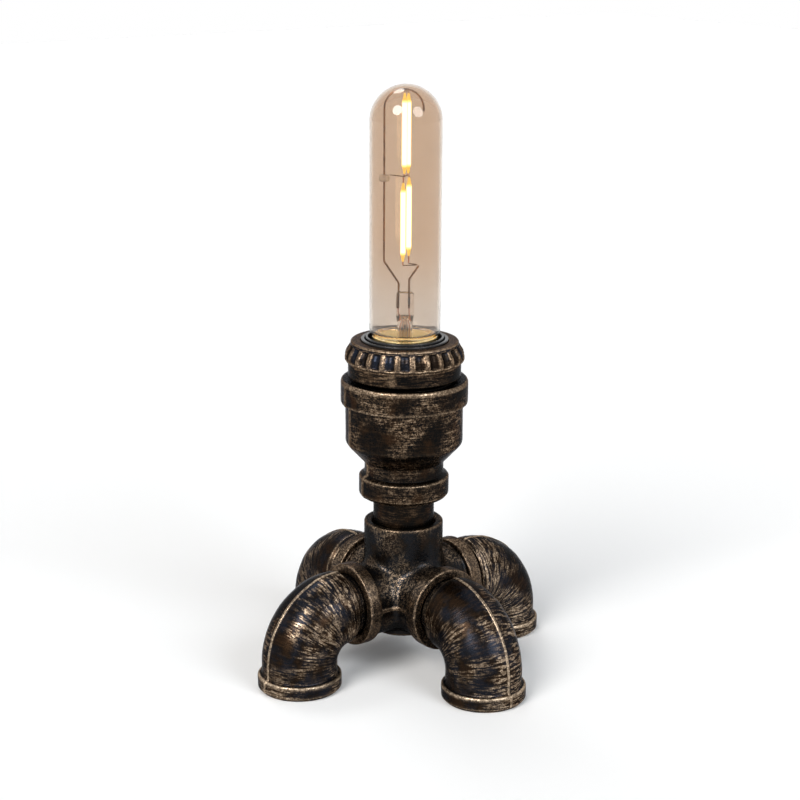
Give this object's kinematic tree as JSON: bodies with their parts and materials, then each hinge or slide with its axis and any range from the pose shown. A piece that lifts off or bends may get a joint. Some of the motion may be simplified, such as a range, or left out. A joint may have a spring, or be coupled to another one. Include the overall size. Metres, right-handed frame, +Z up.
{
  "type": "industrial pipe table lamp",
  "caption": "Table lamp of cast pipe fittings: a cross on elbow legs, a nipple, a bell reducer and a screw lampholder with a fluted ring, carrying a bare tubular filament bulb.",
  "frame": {"origin": "on the table, under the lamp's upright axis", "axes": "+Z up along the bulb; the four legs point along +X, +Y, -X and -Y"},
  "size_m": [0.1472, 0.1472, 0.2503],
  "materials": {
    "cast_iron": "bronze paint brushed over black, rough cast",
    "pipe_thread": "dark, oiled thread",
    "painted_steel": "bronze paint brushed over black, satin",
    "insulator_black": "glossy moulding",
    "brass": "satin, lightly tarnished",
    "spring_steel": "bright",
    "plated_steel": "zinc plated",
    "rubber_black": "matte",
    "bulb_glass": "clear, faint warm tint",
    "stem_glass": "clear, thick",
    "cap_metal": "bright gold",
    "cap_insulator": "black glass, glossy",
    "wire_metal": "brown nickel wire",
    "filament_coating": "yellow phosphor, glowing warm white",
    "board": "circuit board"
  },
  "bodies": {
    "root": {"cross_fitting": "cast_iron", "leg_elbow_right": "cast_iron", "leg_elbow_back": "cast_iron", "leg_elbow_left": "cast_iron", "leg_elbow_front": "cast_iron", "pipe_nipple": "pipe_thread", "reducer_coupling": "cast_iron", "holder_cup": "painted_steel", "fluted_ring": "painted_steel", "insulating_core": "insulator_black", "screw_shell": "brass", "contact_spring": "spring_steel", "live_strap": "brass", "shell_strap": "brass", "terminal_blocks": "brass", "terminal_screws": "plated_steel", "holder_cable_bush": "rubber_black", "base_cable_grommet": "rubber_black", "earth_washer": "plated_steel", "earth_screw": "plated_steel"},
    "contact_pin": {"centre_contact_pin": "brass"},
    "bulb_seat": {"cap_contact": "cap_metal", "cap_insulator": "cap_insulator"},
    "bulb": {"cap_shell": "cap_metal", "glass_envelope": "bulb_glass", "glass_stem": "stem_glass", "exhaust_tube": "stem_glass", "lead_in_wires": "wire_metal", "support_wire_long": "wire_metal", "support_wire_short": "wire_metal", "glass_bead": "stem_glass", "centre_bridge_wire": "wire_metal", "lower_bridge_wire": "wire_metal", "top_bridge_wire": "wire_metal", "filament_upper_front": "filament_coating", "filament_upper_back": "filament_coating", "filament_lower_front": "filament_coating", "filament_lower_back": "filament_coating", "filament_end_leads": "wire_metal", "driver_board": "board"}
  },
  "joints": [
    {"name": "contact_press", "type": "slide", "parent": "root", "child": "contact_pin", "axis": [0, 0, 1], "range_m": [-0.001, 0], "stiffness_N_per_m": 900, "deforming": ["contact_spring"]},
    {"name": "bulb_lift", "type": "slide", "parent": "root", "child": "bulb_seat", "axis": [0, 0, 1], "range_m": [0, 0.0127]},
    {"name": "bulb_turn", "type": "hinge", "parent": "bulb_seat", "child": "bulb", "pos_m": [0, 0, 0.12], "axis": [0, 0, 1], "range_deg": [0, 1260]}
  ],
  "couplings": [
    {"joint": "bulb_turn", "follows": "bulb_lift", "rad_per_m": 1731.4}
  ]
}
